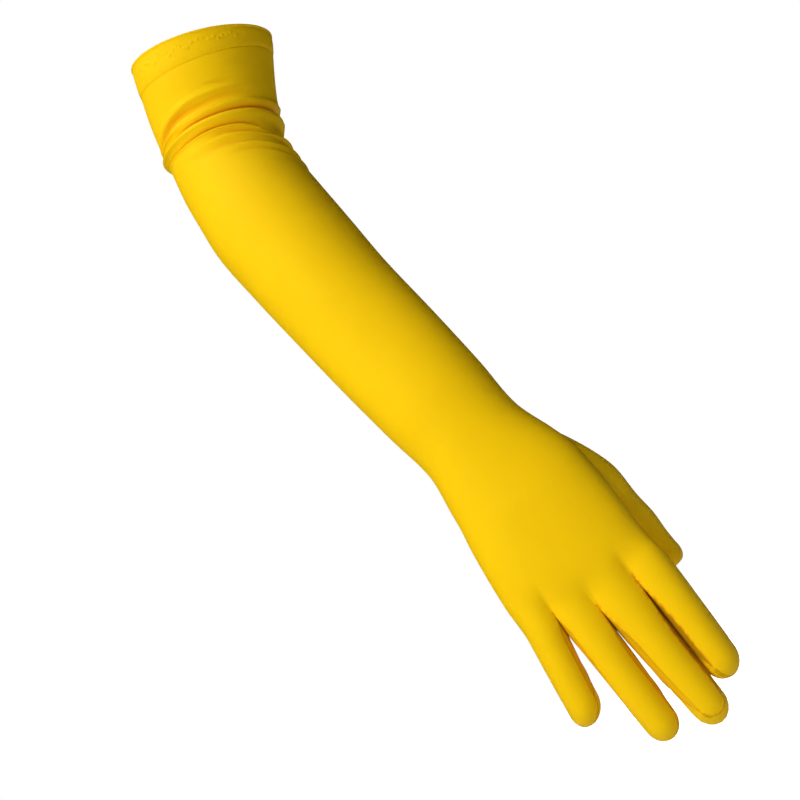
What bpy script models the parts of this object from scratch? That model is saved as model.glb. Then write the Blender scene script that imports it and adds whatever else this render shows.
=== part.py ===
"""A long stretch glove for the right hand, in the shape that it keeps on a slightly bent arm.

The glove is cut and sewn from thin knit cloth: a back panel and a palm panel that run from the
fingertips to the cuff, a strip in each gap between two fingers, a thumb set into the side of the
hand, and a turned hem. The forearm hangs along -Z with the fingers down. The back of the hand faces
-Y and the thumb side is +X. The origin is the middle of the cuff's mouth.
"""

import bisect
import math

import bmesh
import bpy
from mathutils import Matrix, Vector

MM = 0.001

# Cloth and hem. A seam's gap is left between the cut edges of two pieces. At a sharp corner the cloth
# is pulled back by no more than the gap over the corner share, and where a strip is folded double at
# a web, its edge is pulled back by the fold's pull times the gap.
CLOTH = 1.0 * MM
SEAM_GAP = 0.34 * MM
CORNER_SHARE = 0.35
FOLD_SHARPNESS = 0.5
FOLD_PULL = 4.0
HEM_DEPTH = 15.0 * MM
HEM_WALL = 2.2 * MM
HEM_PROUD = 0.5 * MM

# Lengths down the middle of the arm and hand. The knuckle length is the stretch above the webs over
# which the palm's oval turns into four fingers side by side, and the mouth slants by as much up on its
# high side as down on the other.
UPPER_LENGTH = 62.5 * MM
FOREARM_LENGTH = 247.0 * MM
PALM_LENGTH = 102.0 * MM
KNUCKLE_LENGTH = 34.0 * MM
BEND_LENGTH = 66.0 * MM
ELBOW_BEND = math.radians(39.7)
ELBOW_TOWARDS = math.radians(35.7)
MOUTH_SLANT = 6.2 * MM
MOUTH_HIGH_SIDE = math.radians(-29.0)

# Widths across the glove
MOUTH_WIDTH = 88.6 * MM
ELBOW_WIDTH = 74.0 * MM
FOREARM_WIDTH = 75.5 * MM
WRIST_WIDTH = 59.0 * MM
PALM_WIDTH = 76.0 * MM

# Fingers and thumb. The webs slant down to the palm and are rounded, and below them two fingers that
# touch keep the nearest gap.
INDEX_LENGTH = 59.5 * MM
MIDDLE_LENGTH = 71.5 * MM
RING_LENGTH = 69.0 * MM
LITTLE_LENGTH = 48.0 * MM
WEB_SLANT = 9.0 * MM
NEAREST = 0.3 * MM
WEB_ROUND = 2.0 * MM
THUMB_LENGTH = 65.0 * MM
THUMB_WIDTH = 19.0 * MM

# Folds at the elbow, each fading out over a share of its reach round the arm
FOLD_HEIGHT = 2.4 * MM
FOLD_WIDTH = 6.0 * MM
FOLD_FADE = 0.6

# Stations along the middle line, from the mouth down
BEND_START = UPPER_LENGTH - BEND_LENGTH / 2
BEND_END = UPPER_LENGTH + BEND_LENGTH / 2
WRIST = UPPER_LENGTH + FOREARM_LENGTH
WEBS = WRIST + PALM_LENGTH

# Sections of the arm and hand: where each lies, its width and depth across, how far it shifts to the
# thumb side and to the back of the hand, and its squareness, 2 for an oval. Places are shares of the
# length named first, widths of the width named third. Depth is a share of that same width, and the
# shifts are shares of the palm's width.
SECTIONS = (
    # start, length, place, named width, width, depth, to thumb, to back, squareness
    (0.0, UPPER_LENGTH, 0.00, MOUTH_WIDTH, 1.000, 0.97, 0.000, 0.00, 2.0),
    (0.0, UPPER_LENGTH, 0.35, MOUTH_WIDTH, 0.945, 0.94, 0.004, 0.00, 2.0),
    (0.0, UPPER_LENGTH, 0.75, MOUTH_WIDTH, 0.885, 0.89, 0.020, 0.00, 2.0),
    (UPPER_LENGTH, FOREARM_LENGTH, 0.00, ELBOW_WIDTH, 0.990, 1.00, 0.016, 0.00, 2.0),
    (UPPER_LENGTH, FOREARM_LENGTH, 0.10, FOREARM_WIDTH, 0.965, 0.98, -0.006, 0.00, 2.0),
    (UPPER_LENGTH, FOREARM_LENGTH, 0.24, FOREARM_WIDTH, 1.00, 0.95, -0.038, 0.00, 2.0),
    (UPPER_LENGTH, FOREARM_LENGTH, 0.40, FOREARM_WIDTH, 0.965, 0.90, -0.038, 0.00, 2.0),
    (UPPER_LENGTH, FOREARM_LENGTH, 0.54, FOREARM_WIDTH, 0.92, 0.83, -0.033, 0.00, 2.0),
    (UPPER_LENGTH, FOREARM_LENGTH, 0.72, FOREARM_WIDTH, 0.885, 0.74, -0.010, 0.00, 2.1),
    (UPPER_LENGTH, FOREARM_LENGTH, 0.88, WRIST_WIDTH, 1.07, 0.76, 0.012, 0.00, 2.1),
    (UPPER_LENGTH, FOREARM_LENGTH, 1.00, WRIST_WIDTH, 1.00, 0.70, 0.026, 0.00, 2.2),
    (WRIST, PALM_LENGTH, 0.22, PALM_WIDTH, 0.885, 0.53, 0.036, 0.02, 2.3),
    (WRIST, PALM_LENGTH, 0.33, PALM_WIDTH, 0.940, 0.51, 0.038, 0.02, 2.3),
    (WRIST, PALM_LENGTH, 0.43, PALM_WIDTH, 0.968, 0.49, 0.022, 0.03, 2.4),
    (WRIST, PALM_LENGTH, 0.65, PALM_WIDTH, 1.000, 0.43, -0.010, 0.04, 2.5),
    (WRIST, PALM_LENGTH, 0.89, PALM_WIDTH, 1.000, 0.36, -0.047, 0.05, 2.6),
    (WRIST, PALM_LENGTH, 1.15, PALM_WIDTH, 1.000, 0.27, -0.060, 0.05, 2.6),
)

# The elbow's gathers, from the cuff down. Places are shares of the bend's length, heights and widths
# are shares of FOLD_HEIGHT and FOLD_WIDTH, and a fold is deepest towards the given angle round the
# arm, measured from the thumb side over the back, and fades out at its reach either side.
FOLDS = (
    # place, height, width, towards, reach
    (0.20, 0.45, 1.00, 100.0, 120.0),
    (0.41, -1.00, 0.60, 80.0, 150.0),
    (0.51, 0.75, 0.75, 70.0, 150.0),
    (0.61, -1.00, 0.60, 80.0, 150.0),
    (0.70, 0.55, 0.75, 50.0, 120.0),
    (0.80, -0.55, 0.65, 30.0, 90.0),
    (0.90, 0.45, 0.85, 30.0, 80.0),
)

# How far the cloth's rows lean at the elbow: down on the thumb side by the sink, and up by as much
# on the little side. Both are shares of the bend's length.
ROW_LEANS = (
    # place, sink
    (-0.45, 0.00),
    (0.19, -0.12),
    (0.41, 0.00),
    (0.61, 0.11),
    (0.85, 0.15),
    (1.15, 0.12),
    (1.80, 0.00),
)

# Fingers, from the thumb side. Places and widths are shares of the palm's width, a web's rise is a
# share of the palm's length above the lowest web, on the finger's little side, and lean and curl
# move the fingertip to the thumb side and to the palm by shares of its length. The taper is how much
# of its width a finger loses on the way to its tip, slowly at first.
FINGERS = (
    # name, length, place, width, web's rise, lean, curl, taper, columns
    ("index", INDEX_LENGTH, 0.395, 0.245, 0.000, -0.094, 0.13, 0.12, 5),
    ("middle", MIDDLE_LENGTH, 0.121, 0.276, 0.007, -0.024, 0.13, 0.21, 3),
    ("ring", RING_LENGTH, -0.143, 0.246, 0.104, -0.047, 0.13, 0.17, 3),
    ("little", LITTLE_LENGTH, -0.360, 0.236, 0.104, -0.216, 0.13, 0.12, 5),
)

# The row of fingers lies off the arm's middle line, to the thumb side and to the back, by shares of
# the palm's width. A finger's depth and the length of its rounded tip are shares of its width.
FINGERS_TO_THUMB = -0.055
FINGERS_TO_BACK = 0.075
FINGER_DEPTH = 0.96
TAPER_POWER = 1.3
TIP_LENGTH = 0.48

# The gaps between two fingers, from the thumb side. Near the web both the seams' edges and the sides
# of the fingers touch, and part over these shares of the middle finger's length.
GAPS = (
    # edges, sides
    (0.42, 0.70),
    (0.34, 0.58),
    (0.18, 0.26),
)

# How far the seams turn towards the back on the way down to each fingertip, in degrees round the
# finger on its thumb side and its little side, and over its end.
SEAM_TURNS = (
    # thumb side, little side, end
    (0.0, 48.0, 10.0),
    (38.0, 52.0, 58.0),
    (28.0, 8.0, 22.0),
    (40.0, 0.0, 18.0),
)

# The strip on a finger's side reaches this far either side of its middle, and runs to a point at the
# fingertip. The side seams run a little to the palm.
STRIP_ANGLE = math.radians(38.0)
STRIP_POINT = 2.5
SIDE_ANGLE = math.radians(-8.0)
TIP_CORNER = math.radians(40.0)

# Rows of cloth down the glove, closer together at the webs, and the thumb's opening in columns to
# either side of the side seam and in rows below the wrist
HAND_ROWS = 12
FINGER_ROWS = 9
TIP_ROWS = 3
STRIP_COLUMNS = 2
HOLE_BACK_COLUMNS = 1
HOLE_PALM_COLUMNS = 3
HOLE_TOP_ROW = 2
HOLE_BOTTOM_ROW = 8
ROW_POWER = 1.3

# Sections of the thumb, from its opening down to where its tip starts to round. Drops are shares of
# the thumb's length, and the rest are shares of its width. Tilt turns the section from facing
# sideways out of the hand to facing down. The opening's own outline fades out over THUMB_BLEND.
THUMB_SECTIONS = (
    # drop, outwards, to palm, height, width, tilt
    (0.00, 0.00, 0.00, 2.50, 0.90, 0.0),
    (0.12, 0.26, 0.12, 1.80, 0.95, 18.0),
    (0.28, 0.49, 0.36, 1.16, 1.02, 45.0),
    (0.46, 0.50, 0.62, 1.12, 1.06, 66.0),
    (0.62, 0.62, 0.80, 1.06, 1.02, 78.0),
    (0.76, 0.66, 0.90, 0.92, 0.96, 83.0),
    (0.87, 0.72, 0.96, 0.80, 0.90, 85.0),
)
THUMB_BLEND = 0.31
THUMB_ROWS = 8
THUMB_TIP_ROWS = 3

# The turned edge of the hem: places across its wall, from the inner face, and down from its fold. Both
# are shares of the wall.
HEM_FOLD = (
    # across, down
    (1.00, 0.70),
    (0.85, 0.20),
    (0.50, 0.00),
    (0.15, 0.20),
    (0.00, 0.70),
)
HEM_EDGE = 0.4

PIECES = (
    "back_panel",
    "palm_panel",
    "fourchette_index_middle",
    "fourchette_middle_ring",
    "fourchette_ring_little",
    "thumb",
)


def spread(start, end, steps):
    """Evenly spaced stations from start, without the end."""
    return [start + (end - start) * step / steps for step in range(steps)]


ARM_STATIONS = (
    spread(HEM_DEPTH, BEND_START, 3)
    + spread(BEND_START, BEND_END, 18)
    + spread(BEND_END, WRIST, 12)
    + [WRIST]
)
WRIST_ROW = len(ARM_STATIONS) - 1
WEB_ROW = WRIST_ROW + HAND_ROWS
TIP_ROW = WEB_ROW + FINGER_ROWS
LAST_ROW = TIP_ROW + TIP_ROWS


def lerp(start, end, share):
    return start + (end - start) * share


def clip(value, low, high):
    return max(low, min(high, value))


def smooth(value):
    """An S-shaped step from 0 to 1."""
    value = clip(value, 0.0, 1.0)
    return value * value * (3.0 - 2.0 * value)


def through(rows, place):
    """Values at a place between table rows, on a smooth curve through every row."""
    places = [row[0] for row in rows]
    place = clip(place, places[0], places[-1])
    upper = clip(bisect.bisect_right(places, place), 1, len(rows) - 1)
    before, after = rows[upper - 1], rows[upper]
    first, last = rows[max(upper - 2, 0)], rows[min(upper + 1, len(rows) - 1)]
    span = after[0] - before[0]
    share = (place - before[0]) / span
    values = []
    for start, end, ahead, beyond in zip(before[1:], after[1:], first[1:], last[1:]):
        slope_in = (end - ahead) / (after[0] - first[0]) * span
        slope_out = (beyond - start) / (last[0] - before[0]) * span
        values.append(
            (2 * share**3 - 3 * share**2 + 1) * start
            + (share**3 - 2 * share**2 + share) * slope_in
            + (3 * share**2 - 2 * share**3) * end
            + (share**3 - share**2) * slope_out
        )
    return values


def arm_rows():
    """The section table in metres, each row at its station along the middle line."""
    rows = []
    for start, length, place, named, width, depth, to_thumb, to_back, square in SECTIONS:
        half = named * width / 2
        shifts = (PALM_WIDTH * to_thumb, PALM_WIDTH * to_back)
        rows.append((start + length * place, half, half * depth, *shifts, square))
    return rows


ARM_ROWS = arm_rows()


def middle_line(station):
    """The middle of the arm at a station, and how far the arm is turned from hanging straight."""
    radius = BEND_LENGTH / ELBOW_BEND
    lean = Vector((math.cos(ELBOW_TOWARDS), -math.sin(ELBOW_TOWARDS), 0.0))
    down = Vector((0.0, 0.0, -1.0))
    axis = lean.cross(down)
    turn = ELBOW_BEND * clip((BEND_END - station) / BEND_LENGTH, 0.0, 1.0)
    upper = down * math.cos(ELBOW_BEND) - lean * math.sin(ELBOW_BEND)
    middle = upper * min(station, BEND_START)
    if station > BEND_START:
        rise = radius * (math.sin(ELBOW_BEND) - math.sin(turn))
        side = radius * (math.cos(turn) - math.cos(ELBOW_BEND))
        middle = middle + down * rise - lean * side
    middle = middle + down * max(station - BEND_END, 0.0)
    return middle, Matrix.Rotation(turn, 3, axis)


def oval(value, square):
    return math.copysign(abs(value) ** (2.0 / square), value)


def fold_height(angle, station):
    """How far the elbow's gathers lift the cloth, or sink it, at a place on the sleeve."""
    height = 0.0
    for place, share, width, towards, reach in FOLDS:
        away = math.degrees(angle) - towards
        away = (away + 180.0) % 360.0 - 180.0
        fade = smooth((reach - abs(away)) / (reach * FOLD_FADE))
        distance = (station - BEND_START - BEND_LENGTH * place) / (FOLD_WIDTH * width)
        height += FOLD_HEIGHT * share * fade * math.exp(-distance * distance)
    return height


def leaned(angle, station):
    """Where a row of the cloth runs at an angle: it leans at the elbow and at the slanted mouth."""
    sink = through(ROW_LEANS, (station - BEND_START) / BEND_LENGTH)[0]
    slant = MOUTH_SLANT * math.cos(angle - MOUTH_HIGH_SIDE) * smooth(1.0 - station / BEND_END)
    return station + BEND_LENGTH * sink * math.cos(angle) - slant


def sleeve_point(angle, station, proud=0.0):
    """A point of the sleeve or hand, at an angle from the thumb side over the back."""
    lift = proud + fold_height(angle, station)
    station = leaned(angle, station)
    half_width, half_depth, to_thumb, to_back, square = through(ARM_ROWS, station)
    middle, turn = middle_line(station)
    across = to_thumb + (half_width + lift) * oval(math.cos(angle), square)
    back = to_back + (half_depth + lift) * oval(math.sin(angle), square)
    return middle + turn @ Vector((across, -back, 0.0))


def web_station(finger):
    """The station of the web on a finger's little side, or the nearest one to it."""
    return WEBS - PALM_LENGTH * FINGERS[clip(finger, 0, 2)][4]


def finger_start(finger, angle):
    """Where a finger starts at an angle round it: at its webs, which slant down to the palm."""
    thumb_side = web_station(finger - 1)
    little_side = web_station(finger)
    share = clip(math.cos(angle) / math.cos(STRIP_ANGLE), -1.0, 1.0)
    back = clip(math.sin(angle) / math.sin(STRIP_ANGLE), -1.0, 1.0)
    return lerp(little_side, thumb_side, (share + 1) / 2) + WEB_SLANT * (1 - back) / 2


def finger_tip_start(finger):
    _, length, _, width = FINGERS[finger][:4]
    root = (web_station(finger - 1) + web_station(finger)) / 2
    return root + length - PALM_WIDTH * width * TIP_LENGTH


def finger_frame(finger, station):
    """A finger's middle, half width and half depth at a station."""
    _, length, place, width, _, lean, curl, taper, _ = FINGERS[finger]
    root = (web_station(finger - 1) + web_station(finger)) / 2
    share = (station - root) / length
    across = PALM_WIDTH * (FINGERS_TO_THUMB + place) + length * lean * share
    back = PALM_WIDTH * FINGERS_TO_BACK - length * curl * max(share, 0.0) ** 2
    half = PALM_WIDTH * width / 2 * (1 - taper * max(share, 0.0) ** TAPER_POWER)
    middle = middle_line(station)[0]
    return middle + Vector((across, -back, 0.0)), half, half * FINGER_DEPTH


def plain_finger_point(finger, angle, station):
    middle, half_width, half_depth = finger_frame(finger, station)
    return middle + Vector((half_width * math.cos(angle), -half_depth * math.sin(angle), 0.0))


def finger_point(finger, angle, station, past_web):
    """A point of a finger. Below the web it keeps to its side of the middle of the gap."""
    point = plain_finger_point(finger, angle, station)
    pull = Vector((0.0, 0.0, 0.0))
    for beside, facing, side in ((finger - 1, 0.0, 1), (finger + 1, math.pi, -1)):
        if not 0 <= beside < len(FINGERS):
            continue
        own = (angle - facing + math.pi) % math.tau - math.pi
        edge = clip(own, -STRIP_ANGLE, STRIP_ANGLE)
        edges_part, sides_part = GAPS[min(finger, beside)]
        parting = MIDDLE_LENGTH * lerp(sides_part, edges_part, abs(edge) / STRIP_ANGLE)
        closed = 1.0 - smooth(past_web / parting)
        rounded = math.sqrt(1.0 - (1.0 - clip(past_web / WEB_ROUND, 0.0, 1.0)) ** 2)
        here = plain_finger_point(finger, facing + edge, station)
        there = plain_finger_point(beside, facing + math.pi - edge, station)
        apart = (there.x - here.x) * side
        across = (apart - max(apart * (1.0 - closed), NEAREST * closed * rounded)) * side
        share = clip((1 + math.cos(own) / math.cos(edge)) / 2, 0.0, 1.0) ** 2
        pull += Vector((across, (there.y - here.y) * closed, 0.0)) / 2 * share
    return point + pull


def hand_point(finger, palm_angle, finger_angle, station, past_web):
    """A point of the hand, which turns from one oval into the row of fingers at the knuckles."""
    apart = smooth(1.0 + past_web / KNUCKLE_LENGTH)
    if apart == 0.0:
        return sleeve_point(palm_angle, station)
    own = finger_point(finger, finger_angle, station, past_web)
    if apart == 1.0:
        return own
    return sleeve_point(palm_angle, station).lerp(own, apart)


def turned(finger, angle, down):
    """The angle round a finger after its seams have turned, at a share of the way to its tip."""
    thumb_side, little_side, _ = (math.radians(turn) * down**2 for turn in SEAM_TURNS[finger])
    angle = (angle + math.pi) % math.tau - math.pi
    room = math.pi + (thumb_side + little_side) * (-1 if angle > 0.0 else 1)
    return thumb_side + angle * room / math.pi


def tip_point(finger, angle, share):
    """A point of a fingertip's dome. At share 1 the cloth has reached the seam over the tip."""
    corner = TIP_CORNER * share
    tilt = math.pi / 2 * share
    sunk = math.sin(corner) * math.sin(tilt)
    lift = math.sqrt(sunk**2 + (math.cos(corner) * math.sin(angle)) ** 2) - sunk
    side = math.copysign(1.0, math.sin(angle)) if abs(math.sin(angle)) > 1e-9 else 1.0
    across = math.cos(corner) * math.cos(angle)
    back = side * lift * math.cos(tilt)
    down = math.sin(corner) + lift * math.sin(tilt)
    flat = math.hypot(across, back)
    angle = turned(finger, math.atan2(back, across), 1.0)
    across, back = flat * math.cos(angle), flat * math.sin(angle)
    over = math.radians(SEAM_TURNS[finger][2]) * math.asin(min(down, 1.0)) / (math.pi / 2)
    back, down = (
        back * math.cos(over) + down * math.sin(over),
        down * math.cos(over) - back * math.sin(over),
    )
    station = finger_tip_start(finger)
    radius = PALM_WIDTH * FINGERS[finger][3] * TIP_LENGTH
    half_width, half_depth = finger_frame(finger, station)[1:]
    middle = finger_frame(finger, station + radius * down)[0]
    return middle + Vector((half_width * across, -half_depth * back, 0.0))


def palm_angles():
    """The angles round the hand that part the fingers' columns, over the back from the thumb side."""
    half_width, _, _, _, square = through(ARM_ROWS, WEBS)
    angles = [SIDE_ANGLE]
    for first, second in zip(FINGERS, FINGERS[1:]):
        between = PALM_WIDTH * (first[2] - first[3] / 2 + second[2] + second[3] / 2) / 2
        share = clip(between / half_width, -0.95, 0.95)
        angles.append(math.acos(oval(share, 4.0 / square)))
    return angles + [math.pi - SIDE_ANGLE]


PALM_ANGLES = palm_angles()


def column_angles(finger, side, share, row):
    """Angles round the hand and round the finger, for a share of the way across a finger's panel.

    Side is 1 on the back and -1 on the palm, and the share runs from the thumb side.
    """
    palm_start = PALM_ANGLES[finger] * side
    palm_end = PALM_ANGLES[finger + 1] * side
    if side < 0 and finger == 0:
        palm_start = SIDE_ANGLE
    if side < 0 and finger == len(FINGERS) - 1:
        palm_end = -math.pi - SIDE_ANGLE
    narrowing = 1.0 - clip((row - WEB_ROW) / FINGER_ROWS, 0.0, 1.0) ** STRIP_POINT
    start = STRIP_ANGLE * narrowing * side
    end = (math.pi - STRIP_ANGLE * narrowing) * side
    if finger == 0:
        start = SIDE_ANGLE * narrowing
    if finger == len(FINGERS) - 1:
        end = math.pi * side - SIDE_ANGLE * narrowing
    return lerp(palm_start, palm_end, share), lerp(start, end, share)


def round_opening(column, row):
    """Moves grid places near the thumb's opening so that its square outline turns into an oval.

    Columns count from the side seam, over the back.
    """
    half_across = (HOLE_BACK_COLUMNS + HOLE_PALM_COLUMNS) / 2
    half_down = (HOLE_BOTTOM_ROW - HOLE_TOP_ROW) / 2
    across = (column - HOLE_BACK_COLUMNS) / half_across + 1
    down = (row - WRIST_ROW - HOLE_TOP_ROW) / half_down - 1
    size = max(abs(across), abs(down))
    if not 1e-9 < size < 2.0:
        return column, row
    fade = min(2.0 - size, 1.0)
    round_across = across * math.sqrt(1.0 - (down / size) ** 2 / 2)
    round_down = down * math.sqrt(1.0 - (across / size) ** 2 / 2)
    column += (round_across - across) * fade * half_across
    row += (round_down - down) * fade * half_down
    return column, row


def panel_point(finger, side, share, row):
    """A point of the back or palm panel, in a finger's columns, from the cuff to the fingertip."""
    if finger == 0:
        columns = FINGERS[0][8]
        column, row = round_opening(share * columns * side, row)
        side = 1 if column > 0 or (column == 0 and side > 0) else -1
        share = abs(column) / columns
    palm_angle, finger_angle = column_angles(finger, side, share, row)
    if row > TIP_ROW:
        return tip_point(finger, finger_angle, (row - TIP_ROW) / TIP_ROWS)
    if row <= WRIST_ROW:
        floor = min(int(row), WRIST_ROW - 1)
        station = lerp(ARM_STATIONS[floor], ARM_STATIONS[floor + 1], row - floor)
        return sleeve_point(palm_angle, station)
    web_angle = column_angles(finger, side, share, WEB_ROW)[1]
    start = finger_start(finger, web_angle)
    if row <= WEB_ROW:
        station = lerp(WRIST, start, (row - WRIST_ROW) / HAND_ROWS)
    else:
        share_down = ((row - WEB_ROW) / FINGER_ROWS) ** ROW_POWER
        station = lerp(start, finger_tip_start(finger), share_down)
        finger_angle = turned(finger, finger_angle, (row - WEB_ROW) / FINGER_ROWS)
    return hand_point(finger, palm_angle, finger_angle, station, station - start)


def strip_point(finger, facing, share, row):
    """A point of the strip on a finger's side: 0 faces the thumb side and pi the little side."""
    narrowing = 1.0 - (row / FINGER_ROWS) ** STRIP_POINT
    off_middle = lerp(STRIP_ANGLE, -STRIP_ANGLE, share) * (1 if facing == 0.0 else -1)
    start = finger_start(finger, facing + off_middle)
    station = lerp(start, finger_tip_start(finger), (row / FINGER_ROWS) ** ROW_POWER)
    angle = turned(finger, facing + off_middle * narrowing, row / FINGER_ROWS)
    return finger_point(finger, angle, station, station - start)


def opening_outline():
    """Grid places round the thumb's opening, with their angle as seen from outside the hand."""
    places = []
    for column in range(HOLE_BACK_COLUMNS, -HOLE_PALM_COLUMNS, -1):
        places.append((column, HOLE_TOP_ROW))
    for row in range(HOLE_TOP_ROW, HOLE_BOTTOM_ROW):
        places.append((-HOLE_PALM_COLUMNS, row))
    for column in range(-HOLE_PALM_COLUMNS, HOLE_BACK_COLUMNS):
        places.append((column, HOLE_BOTTOM_ROW))
    for row in range(HOLE_BOTTOM_ROW, HOLE_TOP_ROW, -1):
        places.append((HOLE_BACK_COLUMNS, row))
    return places


def opening_point(column, row):
    side = 1 if column >= 0 else -1
    return panel_point(0, side, abs(column) / FINGERS[0][8], row + WRIST_ROW)


def thumb_frame():
    """The middle of the thumb's opening, and the directions out of the hand and over its back."""
    points = [opening_point(column, row) for column, row in opening_outline()]
    middle = sum(points, Vector()) / len(points)
    over = opening_point(HOLE_BACK_COLUMNS, HOLE_TOP_ROW)
    over -= opening_point(-HOLE_PALM_COLUMNS, HOLE_TOP_ROW)
    over.z = 0.0
    over.normalize()
    return middle, Vector((0.0, 0.0, 1.0)).cross(over), over


def thumb_rows():
    """The thumb's sections, each at its share of the way down the thumb's rows of cloth."""
    steps = len(THUMB_SECTIONS) - 1
    return [(step / steps, *section) for step, section in enumerate(THUMB_SECTIONS)]


THUMB_FRAME = thumb_frame()
THUMB_TABLE = thumb_rows()


def thumb_point(corner, share):
    """A point of the thumb below a place on its opening, at a share of its straight length."""
    column, row = corner
    middle, outwards, over = THUMB_FRAME
    across = 2 * (column - HOLE_BACK_COLUMNS) / (HOLE_BACK_COLUMNS + HOLE_PALM_COLUMNS) + 1
    down = 2 * (row - HOLE_TOP_ROW) / (HOLE_BOTTOM_ROW - HOLE_TOP_ROW) - 1
    angle = math.atan2(
        -down * math.sqrt(1 - across**2 / 2),
        across * math.sqrt(1 - down**2 / 2),
    )
    drop, out, to_palm, height, width, tilt = through(THUMB_TABLE, min(share, 1.0))
    tilt = math.radians(tilt)
    up = Vector((0.0, 0.0, 1.0))
    rise = up * math.cos(tilt) + outwards * math.sin(tilt)
    ahead = outwards * math.cos(tilt) - up * math.sin(tilt)
    centre = middle - up * THUMB_LENGTH * drop
    centre = centre + (outwards * out - over * to_palm) * THUMB_WIDTH
    closing = clip(share - 1.0, 0.0, 1.0) * math.pi / 2
    centre = centre + ahead * math.sin(closing) * THUMB_LENGTH * (1 - THUMB_SECTIONS[-1][0])
    half_height = THUMB_WIDTH * height / 2 * math.cos(closing)
    half_width = THUMB_WIDTH * width / 2 * math.cos(closing)
    point = centre + rise * half_height * math.sin(angle) + over * half_width * math.cos(angle)
    return opening_point(column, row).lerp(point, smooth(share / THUMB_BLEND))


def add_patch(skin, piece, columns, rows, place, keep=None):
    """Adds a grid of cloth to the skin, with each corner moved to its place on the glove."""
    corners = bmesh.ops.create_grid(skin, x_segments=columns, y_segments=rows, size=0.5)["verts"]
    faces = {face for corner in corners for face in corner.link_faces}
    for face in faces:
        face.material_index = PIECES.index(piece)
    if keep:
        cut = []
        for face in faces:
            middle = face.calc_center_median()
            if not keep((middle.x + 0.5) * columns, (middle.y + 0.5) * rows):
                cut.append(face)
        bmesh.ops.delete(skin, geom=cut, context="FACES")
    for corner in corners:
        if corner.is_valid:
            corner.co = place(round((corner.co.x + 0.5) * columns), round((corner.co.y + 0.5) * rows))


def outside_opening(side):
    """A test for the squares of the index finger's columns that the thumb's opening leaves."""
    reach = HOLE_BACK_COLUMNS if side > 0 else HOLE_PALM_COLUMNS

    def keep(column, row):
        return column > reach or not HOLE_TOP_ROW < row - WRIST_ROW < HOLE_BOTTOM_ROW

    return keep


def sewn_skin():
    """The whole glove as one sheet of cloth without thickness, each face marked with its piece."""
    skin = bmesh.new()
    for finger, row in enumerate(FINGERS):
        columns = row[8]
        for side, piece in ((1, "back_panel"), (-1, "palm_panel")):
            add_patch(
                skin,
                piece,
                columns,
                LAST_ROW,
                lambda column, down: panel_point(finger, side, column / columns, down),
                outside_opening(side) if finger == 0 else None,
            )
    for finger, piece in enumerate(PIECES[2:5]):
        for wearer, facing in ((finger, math.pi), (finger + 1, 0.0)):
            add_patch(
                skin,
                piece,
                STRIP_COLUMNS,
                FINGER_ROWS,
                lambda column, down: strip_point(wearer, facing, column / STRIP_COLUMNS, down),
            )
    outline = opening_outline()
    add_patch(
        skin,
        "thumb",
        len(outline),
        THUMB_ROWS + THUMB_TIP_ROWS,
        lambda column, down: thumb_point(
            outline[column % len(outline)],
            down / THUMB_ROWS if down <= THUMB_ROWS else 1 + (down - THUMB_ROWS) / THUMB_TIP_ROWS,
        ),
    )
    bmesh.ops.remove_doubles(skin, verts=skin.verts, dist=0.002 * MM)
    bmesh.ops.recalc_face_normals(skin, faces=skin.faces)
    return skin


def trim_edge(piece, width):
    """Pulls the cut edge of a piece back along the cloth, for the gap at its seams."""
    moves = {}
    for corner in piece.verts:
        edges = [edge for edge in corner.link_edges if edge.is_boundary]
        ahead = [(edge.other_vert(corner).co - corner.co).normalized() for edge in edges]
        inwards = []
        for edge in edges:
            face = edge.link_faces[0]
            along = (edge.verts[1].co - edge.verts[0].co).normalized()
            across = face.calc_center_median() - corner.co
            across -= along * across.dot(along)
            across -= face.normal * across.dot(face.normal)
            inwards.append(across.normalized())
        if inwards:
            middle = sum(inwards, Vector()).normalized()
            moves[corner] = middle * width / max(middle.dot(inwards[0]), CORNER_SHARE)
            if ahead[0].dot(ahead[-1]) > FOLD_SHARPNESS and middle.dot(inwards[0]) > FOLD_SHARPNESS:
                moves[corner] *= FOLD_PULL
    for corner, move in moves.items():
        corner.co += move


def cut_piece(skin, name):
    """One piece of the skin as a solid, its cloth thickened towards the inside of the glove."""
    piece = skin.copy()
    piece.normal_update()
    inside = {corner.index: -corner.normal for corner in piece.verts}
    normals = piece.verts.layers.float_vector.new("inside")
    for corner in piece.verts:
        corner[normals] = inside[corner.index]
    tag = PIECES.index(name)
    others = [face for face in piece.faces if face.material_index != tag]
    bmesh.ops.delete(piece, geom=others, context="FACES")
    piece.normal_update()
    trim_edge(piece, SEAM_GAP / 2)
    made = bmesh.ops.extrude_face_region(piece, geom=piece.faces[:], use_keep_orig=True)["geom"]
    for corner in made:
        if isinstance(corner, bmesh.types.BMVert):
            corner.co += corner[normals] * CLOTH
    for face in piece.faces:
        face.material_index = 0
        face.smooth = True
    bmesh.ops.triangulate(piece, faces=piece.faces)
    bmesh.ops.recalc_face_normals(piece, faces=piece.faces)
    return piece


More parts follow.
